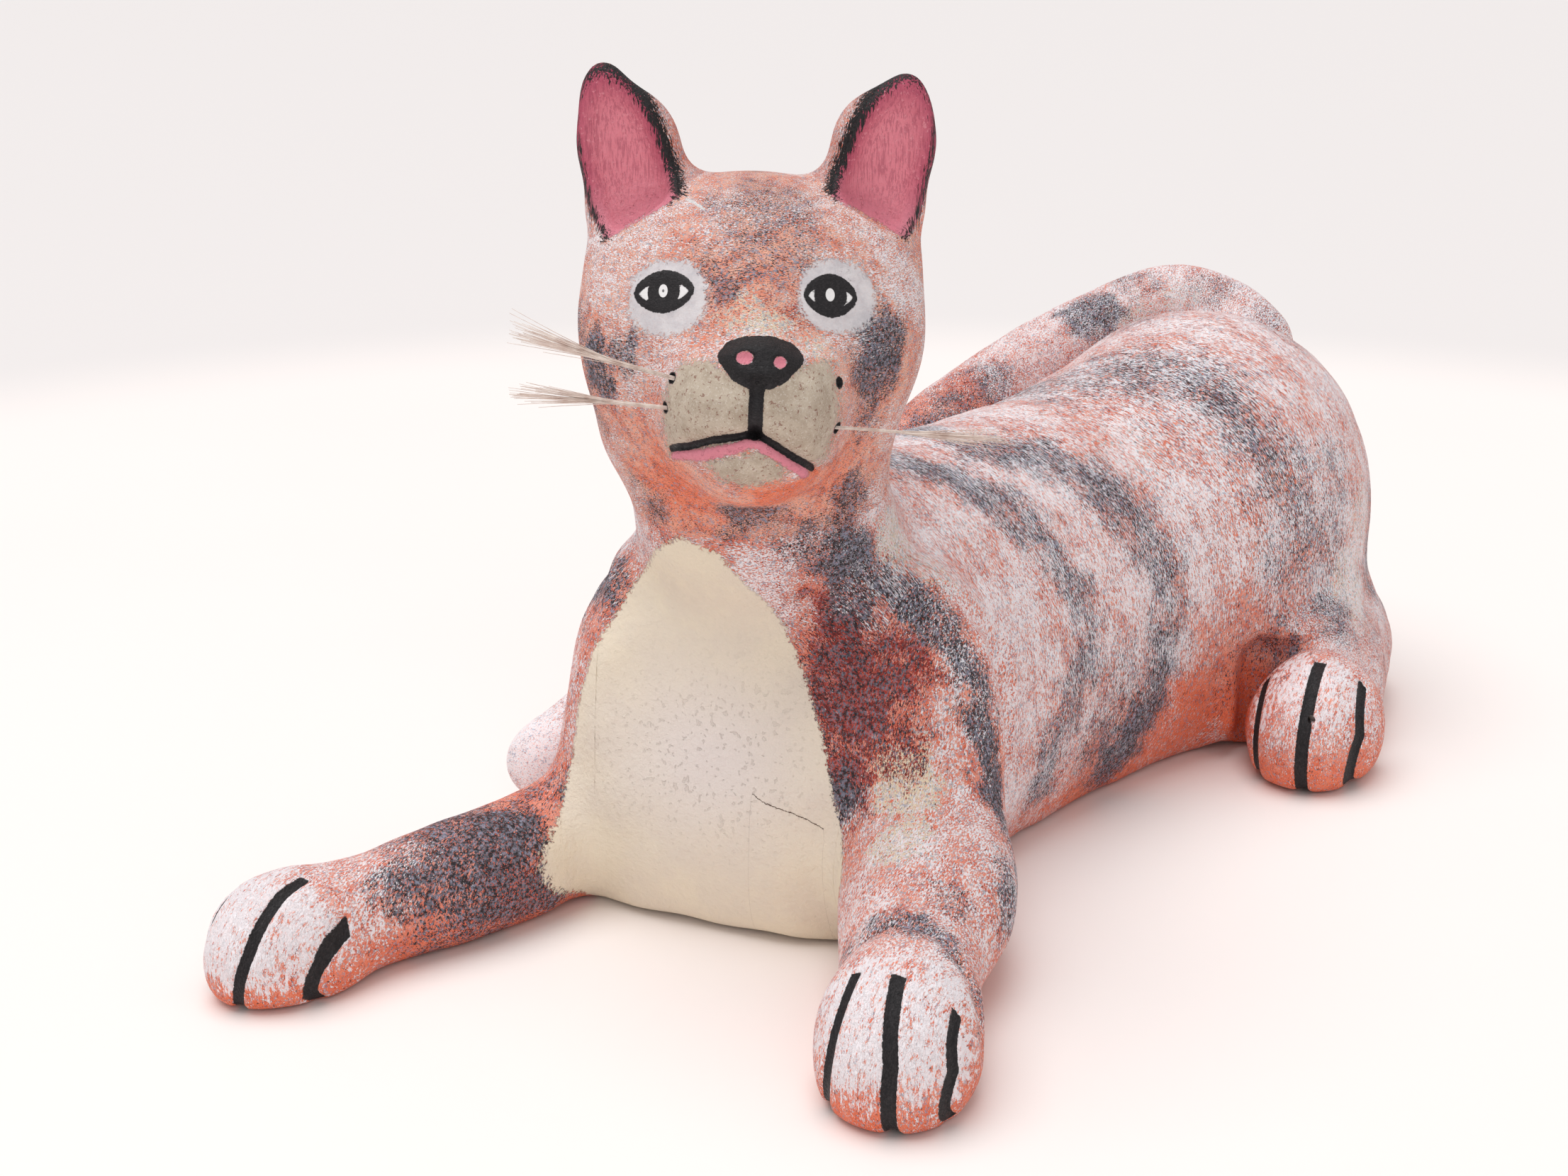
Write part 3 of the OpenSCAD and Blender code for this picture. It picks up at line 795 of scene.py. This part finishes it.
class Nodes:
    """Short ways to build a node tree."""

    def __init__(self, name):
        self.material = bpy.data.materials.new(name)
        self.material.use_nodes = True
        self.tree = self.material.node_tree
        self.tree.nodes.clear()

    def add(self, kind, **sockets):
        node = self.tree.nodes.new(kind)
        for key, value in sockets.items():
            self.set(node.inputs[key.replace("_", " ")], value)
        return node

    def set(self, socket, value):
        if isinstance(value, bpy.types.NodeSocket):
            self.tree.links.new(value, socket)
        else:
            socket.default_value = value

    def math(self, operation, a, b=0.0, clamp=False):
        node = self.tree.nodes.new("ShaderNodeMath")
        node.operation = operation
        node.use_clamp = clamp
        self.set(node.inputs[0], a)
        self.set(node.inputs[1], b)
        return node.outputs[0]

    def mix(self, share, a, b):
        node = self.tree.nodes.new("ShaderNodeMix")
        node.data_type = "RGBA"
        self.set(node.inputs[0], share)
        self.set(node.inputs[6], a)
        self.set(node.inputs[7], b)
        return node.outputs[2]

    def ramp(self, value, low, high, start=0.0, end=1.0):
        node = self.add("ShaderNodeMapRange", Value=value, From_Min=low, From_Max=high,
                        To_Min=start, To_Max=end)
        node.interpolation_type = "SMOOTHSTEP"
        return node.outputs[0]

    def mark(self, name, output="Fac"):
        node = self.tree.nodes.new("ShaderNodeAttribute")
        node.attribute_name = name
        return node.outputs[output]

    def noise(self, vector, scale=1.0, detail=3.0, rough=0.7, warp=0.0):
        node = self.add("ShaderNodeTexNoise", Vector=vector, Scale=scale, Detail=detail, Roughness=rough,
                        Distortion=warp)
        return node.outputs["Fac"]

    def mapped(self, vector, scale, shift=(0, 0, 0)):
        return self.add("ShaderNodeMapping", Vector=vector, Location=shift, Scale=scale).outputs[0]

    def strokes(self, along, across, shift=0.0, **look):
        """Noise in marks of this length and width, in mm, that lie the way the brush went."""
        scale, shift = (1 / along, 1 / across, 1 / across), (shift, 1.7 * shift, 0.6 * shift)
        return self.noise(self.mapped(self.mark("flow", "Vector"), scale, shift), **look)

    def grains(self, size, shift=0.0, **look):
        """Noise in marks of this size, in mm, fixed to the resting figure."""
        place = self.add("ShaderNodeTexCoord").outputs["Object"]
        scale = (1 / size / MM,) * 3
        return self.noise(self.mapped(place, scale, (shift, 0.7 * shift, 1.3 * shift)), **look)

    def times(self, a, b):
        return self.math("MULTIPLY", a, b)

    def plus(self, total, *others):
        for other in others:
            total = self.math("ADD", total, other)
        return total

    def scale(self, value, by, plus=0.0):
        out = self.math("MULTIPLY_ADD", value, by)
        out.node.inputs[2].default_value = plus
        return out

    def flecks(self, noise, density, soft=0.02, spread=0.36):
        """Marks that cover about the given share of the surface."""
        gap = self.plus(noise, self.scale(density, spread, -0.5 - spread / 2))
        return self.ramp(gap, -soft, soft)

    def inside(self, name, wobble, amount, soft=0.12):
        """1 inside a painted outline whose edge wobbles by amount mm."""
        shift = self.times(self.math("SUBTRACT", wobble, 0.5), amount)
        return self.ramp(self.plus(self.mark(name), shift), soft, -soft)

    def surface(self, colour, rough, **more):
        """The material, with this colour and roughness."""
        shader = self.add("ShaderNodeBsdfPrincipled", Base_Color=colour, Roughness=rough, **more)
        self.add("ShaderNodeOutputMaterial", Surface=shader.outputs[0])
        return self.material


def painted_wood(name, base=(243, 162, 140), deep=(231, 116, 86), veil=0.61):
    """Layers of dry-brushed acrylic over carved wood."""
    n = Nodes(name)
    fine = n.strokes(1.0, 0.34, rough=0.72, warp=0.4)
    fine2 = n.strokes(0.9, 0.32, 37.0, warp=0.4)
    top = n.strokes(1.25, 0.3, 91.0, warp=0.5)
    grit = n.grains(0.42)
    grain = n.grains(0.95, 11.0, rough=0.72)
    cloud = n.grains(4.0, 5.0, rough=0.68)
    drift = n.grains(13.0, 71.0, rough=0.62)
    warm, red, dark, bare = (n.mark(k) for k in ("warm", "red", "dark", "bare"))

    colour = n.mix(n.ramp(cloud, 0.34, 0.66), rgb(*base), rgb(*deep))
    colour = n.mix(n.scale(warm, 0.75), colour, rgb(240, 116, 68))
    colour = n.mix(n.flecks(grain, n.scale(n.mark("cream"), 0.8, 0.08)), colour, rgb(240, 222, 194))
    reds = n.times(red, n.ramp(cloud, 0.3, 0.55, 0.8, 1.1))
    maroon = n.mix(n.ramp(grain, 0.4, 0.6), rgb(126, 36, 32), rgb(186, 64, 46))
    colour = n.mix(n.flecks(fine2, n.scale(reds, 0.85, 0.06)), colour, maroon)
    # charcoal: a thin haze, then grains
    cover = n.times(dark, n.ramp(drift, 0.32, 0.6, 0.85, 1.15))
    cover = n.plus(cover, n.ramp(cloud, 0.42, 0.68, 0.0, 0.22), n.scale(red, 0.28), n.scale(bare, 0.26))
    colour = n.mix(n.scale(cover, 0.16), colour, rgb(120, 114, 120))
    tone = n.mix(n.ramp(grain, 0.42, 0.58), rgb(44, 42, 46), rgb(112, 112, 124))
    colour = n.mix(n.flecks(fine, n.scale(cover, 0.68, 0.15)), colour, tone)
    # white, pink and blue-grey dry brushing
    broad = n.strokes(11.0, 3.2, 29.0, rough=0.6, warp=0.3)
    light = n.ramp(drift, 0.34, 0.66, veil - 0.1, veil + 0.08)
    light = n.plus(light, n.ramp(broad, 0.32, 0.68, -0.08, 0.07))
    for share, mask in ((0.35, n.mark("pale")), (-0.34, warm), (-0.3, red), (-0.5, bare), (-0.2, dark)):
        light = n.plus(light, n.scale(mask, share))
    brushed = n.mix(n.ramp(fine2, 0.42, 0.56), rgb(253, 232, 231), rgb(244, 249, 255))
    brushed = n.mix(n.scale(dark, 0.45), brushed, rgb(214, 220, 232))
    flecked = n.flecks(top, light)
    colour = n.mix(n.scale(flecked, 0.94), colour, brushed)
    bluish = n.times(n.flecks(grain, n.ramp(broad, 0.3, 0.7, 0.34, 0.14)), n.scale(red, -0.4, 0.6))
    colour = n.mix(bluish, colour, rgb(152, 159, 182))
    colour = n.mix(n.flecks(grit, n.scale(warm, 0.2, 0.13)), colour, rgb(222, 104, 80))
    # whitened paws
    streaks = n.flecks(n.strokes(5.0, 0.8, 51.0, detail=5.0, rough=0.8), n.scale(n.mark("wash"), 0.76))
    colour = n.mix(n.scale(streaks, 0.9), colour, rgb(250, 244, 248))

    # cream chest, worn whiter and pitted in its middle, with a hairline crack
    ragged = n.grains(0.9, 3.0, detail=4.0, rough=0.78)
    paler_wear_and_painted_light = n.mark("paler_wear_and_painted_light")
    chest = n.inside("chest", ragged, 6.0, 0.3)
    cream = n.mix(n.ramp(drift, 0.35, 0.65), rgb(239, 226, 203), rgb(233, 220, 201))
    cream = n.mix(paler_wear_and_painted_light, cream, rgb(240, 230, 224))
    pits = n.times(n.flecks(n.grains(1.3, 23.0, detail=2.0, rough=0.5), 0.12), paler_wear_and_painted_light)
    cream = n.mix(n.scale(pits, 0.22), cream, rgb(160, 142, 126))
    crack = n.math("ABSOLUTE", n.plus(n.mark("crack"), n.scale(ragged, 1.2, -0.6)))
    crack = n.times(n.ramp(crack, 0.04, 0.12, 1, 0), chest)
    cream = n.mix(crack, cream, rgb(112, 88, 74))
    colour = n.mix(chest, colour, cream)
    muzzle = n.inside("muzzle", ragged, 9.0, 0.6)
    cheek = n.mix(n.ramp(cloud, 0.35, 0.65), rgb(198, 184, 166), rgb(178, 162, 144))
    cheek = n.mix(n.scale(n.flecks(grain, 0.2), 0.7), cheek, rgb(128, 80, 66))
    cheek = n.mix(n.scale(n.flecks(grit, 0.26), 0.5), cheek, rgb(222, 214, 204))
    colour = n.mix(muzzle, colour, cheek)
    patch = n.inside("patch", ragged, 6.0, 0.5)
    around = n.mix(n.ramp(cloud, 0.3, 0.7), rgb(222, 218, 220), rgb(202, 198, 202))
    colour = n.mix(n.scale(patch, 0.95), colour, around)
    pink = n.mark("pink")
    in_pink = n.inside("pink", ragged, 2.2, 0.15)
    strokes = n.strokes(6.0, 0.6, 17.0)
    # the pink darkens towards its outline: painted shade under the rim of each ear hollow
    rosy = n.mix(n.ramp(pink, -6.0, -0.3), rgb(234, 142, 156), rgb(186, 80, 104))
    rosy = n.mix(n.scale(n.flecks(strokes, 0.42, 0.08), 0.42), rosy, rgb(142, 54, 80))
    # paler pink: the lips' and nostrils' own paint, and painted light on the lower part of each ear hollow
    rosy = n.mix(n.scale(paler_wear_and_painted_light, 0.7), rosy, rgb(236, 154, 168))
    rosy = n.mix(n.scale(n.flecks(grain, 0.16), 0.5), rosy, rgb(236, 160, 170))
    colour = n.mix(in_pink, colour, rosy)
    edge = n.inside("edge", strokes, 7.0, 0.3)
    ink = n.math("MAXIMUM", n.inside("ink", ragged, 0.8, 0.07), edge)
    colour = n.mix(ink, colour, n.mix(n.ramp(fine, 0.4, 0.75), rgb(30, 28, 30), rgb(56, 52, 54)))
    colour = n.mix(n.inside("white", ragged, 0.3, 0.06), colour, rgb(238, 236, 236))
    # the white oval in each pupil, with a dot in the right eye's
    over_u = n.math("POWER", n.math("ABSOLUTE", n.math("DIVIDE", n.mark("glint_u"), 0.95)), 2.0)
    over_v = n.math("POWER", n.math("ABSOLUTE", n.math("DIVIDE", n.mark("glint_v"), 1.4)), 2.0)
    over = n.plus(over_u, over_v)
    glint = n.times(n.ramp(over, 0.85, 1.1, 1, 0), n.ramp(ink, 0.2, 0.8))
    dot = n.times(n.ramp(over, 0.03, 0.09, 0.8, 0), n.mark("glint_dot"))
    glint = n.math("SUBTRACT", glint, dot, True)
    colour = n.mix(glint, colour, rgb(240, 238, 238))

    plain = n.math("MAXIMUM", n.math("MAXIMUM", chest, muzzle), n.math("MAXIMUM", patch, in_pink))
    plain = n.math("SUBTRACT", plain, n.scale(paler_wear_and_painted_light, 0.5))
    rough = n.math("SUBTRACT", n.ramp(grit, 0.3, 0.7, 0.6, 0.88), n.scale(ink, 0.22))
    brushed_on = n.times(flecked, n.ramp(plain, 0, 0.4, 0.5, 0.0))
    bumps = n.times(n.plus(n.scale(grit, 0.6), grain, brushed_on), n.ramp(plain, 0, 1, 1.0, 0.6))
    lumps = n.scale(n.grains(1.8, 61.0, rough=0.62), 2.2)
    bumps = n.plus(bumps, n.times(lumps, n.math("MAXIMUM", chest, in_pink)), n.scale(ink, 0.5))
    bumps = n.math("SUBTRACT", bumps, n.plus(pits, n.scale(crack, 1.5)))
    bump = n.add("ShaderNodeBump", Strength=0.8, Distance=0.00032, Height=bumps)
    return n.surface(colour, rough, Normal=bump.outputs[0], Specular_IOR_Level=0.28)


def grained(name, light, dark, stretch, rough, metallic=0.0, bump_mm=0.05):
    """Bare wood, wire or fibre: streaks along the object's own length."""
    n = Nodes(name)
    place = n.add("ShaderNodeTexCoord").outputs["Object"]
    streak = n.noise(n.mapped(place, stretch), 1.0, 4.0, 0.6, 0.3)
    grit = n.noise(place, 2400, 2.0, 0.6)
    colour = n.mix(n.ramp(streak, 0.35, 0.66), rgb(*light), rgb(*dark))
    bump = n.add("ShaderNodeBump", Strength=0.5, Distance=bump_mm * MM, Height=n.plus(streak, grit))
    polish = n.ramp(grit, 0.3, 0.7, rough - 0.08, rough + 0.08)
    return n.surface(colour, polish, Normal=bump.outputs[0], Metallic=metallic)


# ---- Whiskers ----
# For each tuft: its number of fibres, how far they fan out and how far they droop
TUFTS = {
    "whiskers_right_upper": (54, 3.4, -0.6),
    "whiskers_right_lower": (48, 2.8, 0.2),
    "whiskers_left_lower": (36, 2.4, 0.3),
}


def whisker_line(name):
    """Where a tuft leaves the muzzle, the way it points and its length."""
    points, _ = node_mesh(name)
    middle, way = pin_line(name)
    way = towards(way, middle - from_head((0, 0, 130)))
    along = (points - middle) @ way
    base = middle + way * along.min()
    return base, way, float(along.max() - along.min())


def tuft(name, fibres, fan, droop):
    """Loose fibres, tied in their hole and opening towards the ends."""
    base, way, length = whisker_line(name)
    draw = np.random.default_rng(len(name) * 7 + fibres)
    side = np.cross(way, (0, 0, 1))
    side /= np.linalg.norm(side)
    up = np.cross(side, way)
    sides, rings = 4, 12
    points, faces = [], []
    for _ in range(fibres):
        a, b = draw.normal(0, 0.36, 2)
        turn, lift = draw.normal(0, 1.0, 2)
        reach = length * draw.uniform(0.8, 1.03)
        curl = draw.normal(0, 0.35, 2)
        first = len(points)
        for i in range(rings):
            t = i / (rings - 1)
            open_out = max(0.0, t - 0.45) ** 1.2 * fan
            off = side * (0.42 * a + open_out * turn + curl[0] * t * t)
            off = off + up * (0.42 * b + open_out * 0.8 * lift + curl[1] * t * t - droop * t * t)
            middle = base + way * (reach * t) + off
            radius = 0.11 * (1 - 0.55 * t)
            for j in range(sides):
                c = 2 * math.pi * j / sides
                points.append(middle + radius * (math.cos(c) * side + math.sin(c) * up))
        for i in range(rings - 1):
            for j in range(sides):
                k = first + i * sides
                faces.append((k + j, k + (j + 1) % sides, k + sides + (j + 1) % sides, k + sides + j))
        last = first + (rings - 1) * sides
        faces.append(tuple(first + j for j in reversed(range(sides))))
        faces.append(tuple(last + j for j in range(sides)))
    name += "_fibres"
    return new_object(name, mesh_from(name, np.array(points), faces))


# ---- Everything together ----
def shade(piece, material):
    mesh = piece.data
    mesh.materials.clear()
    mesh.materials.append(material)
    mesh.shade_smooth()
    mesh.set_sharp_from_angle(angle=math.radians(62))


def stand_for(piece, node, body, material):
    shade(piece, material)
    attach(piece, body)
    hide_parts(node)


def leg_region(side):
    at, way = leg_plane(side)
    solid = half_space(at, way)
    for place, out in (((0, SHOULDER_BACK, 0), (0, 1, 0)), ((0, 0, 90), (0, 0, 1))):
        geometry = solid.verts[:] + solid.edges[:] + solid.faces[:]
        bmesh.ops.bisect_plane(
            solid, geom=geometry, plane_co=Vector(place) * MM, plane_no=out, clear_outer=True)
        edges = [e for e in solid.edges if e.is_boundary]
        bmesh.ops.contextual_create(solid, geom=edges)
    bmesh.ops.recalc_face_normals(solid, faces=solid.faces[:])
    return solid


def hind_region(side):
    at, _ = hind_plane(side)
    return corner_box((at[0] - 24, at[1] - 48, -10), (at[0] + 24, at[1], 34))


def ear_region(side):
    at, way = ear_plane(side)
    return rod(at + 30 * way, way, 22, 60)


def bore(node, grow=0.03, extra=0.0):
    """The hole that a CAD pin sits in."""
    points, _ = node_mesh(node)
    at, way = pin_line(node)
    along = (points - at) @ way
    radius = np.linalg.norm((points - at) - along[:, None] * way, axis=1).max()
    return rod(at, way, radius + grow, along.max() - along.min() + extra)


def hole_lines():
    """The inner end and the direction of each whisker hole; the left upper one is empty."""
    lines = [whisker_line(name)[:2] for name in TUFTS]
    way = from_head((36, 3, 6)) - HEAD_MID
    way /= np.linalg.norm(way)
    return lines + [(from_head((16, -38, 134.2)) - 6 * way, way)]


# The paint of each kind of piece, where it differs from the body's
PAINTS = {
    "body": {},
    "head": {"base": (246, 182, 158), "deep": (238, 138, 108), "veil": 0.47},
    "ear": {"veil": 0.45},
    "leg": {"veil": 0.52},
    "paw": {"veil": 0.45},
    "tail": {"veil": 0.6},
}


def build():
    """The carved pieces, in place of their CAD nodes."""
    grid, figure, tail = whole_figure()
    paints = {kind: painted_wood("painted_" + kind, **look) for kind, look in PAINTS.items()}

    def make(name, kind, step, less, only=None, margin=9):
        """Carve, cut and paint one piece; solids in less are cut away."""
        form, body = (tail, "tail") if name == "tail" else (figure, "figure")
        low, high = (np.array(corner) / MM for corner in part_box(name))
        piece = carved_piece(name + "_carved", grid, form, low - margin, high + margin, step, less, only)
        paint(piece.data, name)
        stand_for(piece, name, body, paints[kind])

    less = [half_space(neck_at, neck_way)]
    less += [leg_region(side) for side in SIDES] + [hind_region(side) for side in SIDES]
    pins = ["neck_dowel", "foreleg_dowel_left", "foreleg_dowel_right", "hind_nail_left", "hind_nail_right"]
    less += [bore(pin) for pin in pins]
    socket_mid = tail_at - (PEG_IN / 2 - 0.25) * tail_way
    less += [rod(socket_mid, tail_way, PEG_RADIUS + PEG_PLAY, PEG_IN + 1.5)]
    make("torso", "body", BODY_STEP, less, margin=8)

    less = [half_space(neck_at, -neck_way)] + [ear_region(side) for side in SIDES]
    less += [bore(pin) for pin in ("neck_dowel", "ear_peg_left", "ear_peg_right")]
    less += [rod(base + 6 * way, way, WHISKER_HOLE, 14, 24) for base, way in hole_lines()]
    make("head", "head", HEAD_STEP, less)

    for side in SIDES:
        make("ear_" + side, "ear", HEAD_STEP, [bore("ear_peg_" + side)], ear_region(side))
        make("foreleg_" + side, "leg", LEG_STEP, [bore("foreleg_dowel_" + side)], leg_region(side))
        make("hind_paw_" + side, "paw", LEG_STEP, [bore("hind_nail_" + side, extra=30)], hind_region(side))

    make("tail", "tail", BODY_STEP, [rod(tail_at + 9 * tail_way, tail_way, PEG_RADIUS + PEG_PLAY, 19)])


def small_parts():
    wood = grained("dowel_wood", (214, 178, 126), (176, 132, 82), (300, 300, 60), 0.62)
    steel = grained("nail_steel", (150, 146, 140), (96, 90, 86), (900, 60, 900), 0.42, 0.9, 0.02)
    fibre = grained("whisker_fibre", (240, 226, 216), (214, 190, 178), (400, 400, 400), 0.55, 0.0, 0.01)
    for name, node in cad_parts.items():
        if "dowel" in name or "peg" in name or "nail" in name:
            node.data.materials.clear()
            node.data.materials.append(steel if "nail" in name else wood)
    for name, (fibres, fan, droop) in TUFTS.items():
        piece = tuft(name, fibres, fan, droop)
        piece.data.materials.append(fibre)
        piece.data.shade_smooth()
        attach(piece, "figure")
        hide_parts(name)


def studio():
    mesh = bpy.data.meshes.new("floor")
    corners = [(-8, -8, -0.0003), (8, -8, -0.0003), (8, 8, -0.0003), (-8, 8, -0.0003)]
    mesh.from_pydata(corners, [], [(0, 1, 2, 3)])
    floor = new_object("floor", mesh)
    n = Nodes("floor_paint")
    place = n.add("ShaderNodeTexCoord").outputs["Object"]
    cloud = n.noise(place, 6.0, 2.0, 0.5)
    # paler within about 0.6 m of the figure, fading softly to a greyer tone beyond: a painted pool of
    # light on the floor
    away = n.tree.nodes.new("ShaderNodeVectorMath")
    away.operation = "LENGTH"
    n.set(away.inputs[0], place)
    floor_tone = n.mix(cloud, rgb(253, 246, 243), rgb(251, 243, 240))
    # painted pool of light: greyer from 0.53 to 0.68 m away from the figure
    floor_tone = n.mix(n.ramp(away.outputs["Value"], 0.53, 0.68), floor_tone, rgb(236, 231, 230))
    mesh.materials.append(n.surface(floor_tone, 0.55))

    world = bpy.data.worlds.new("studio")
    world.use_nodes = True
    tree = world.node_tree
    seen = tree.nodes["Background"]
    seen.inputs[0].default_value = rgb(246, 241, 240)
    glow = tree.nodes.new("ShaderNodeBackground")
    glow.inputs[0].default_value = (1.0, 0.985, 0.98, 1)
    glow.inputs[1].default_value = 0.46
    choice = tree.nodes.new("ShaderNodeMixShader")
    tree.links.new(tree.nodes.new("ShaderNodeLightPath").outputs["Is Camera Ray"], choice.inputs[0])
    tree.links.new(glow.outputs[0], choice.inputs[1])
    tree.links.new(seen.outputs[0], choice.inputs[2])
    tree.links.new(choice.outputs[0], tree.nodes["World Output"].inputs[0])
    bpy.context.scene.world = world
    sun("overhead", (-0.22, -0.06, 1.0), 55, 2.0)
    sun("front", (0.5, -0.9, 0.6), 40, 0.36)


def sun(name, way, spread, strength):
    data = bpy.data.lights.new(name, "SUN")
    data.angle = math.radians(spread)
    data.energy = strength
    light = bpy.data.objects.new(name, data)
    light.rotation_euler = Vector(way).to_track_quat("Z", "Y").to_euler()
    bpy.context.collection.objects.link(light)


camera()
build()
small_parts()
studio()
bpy.context.scene.view_settings.view_transform = "Standard"
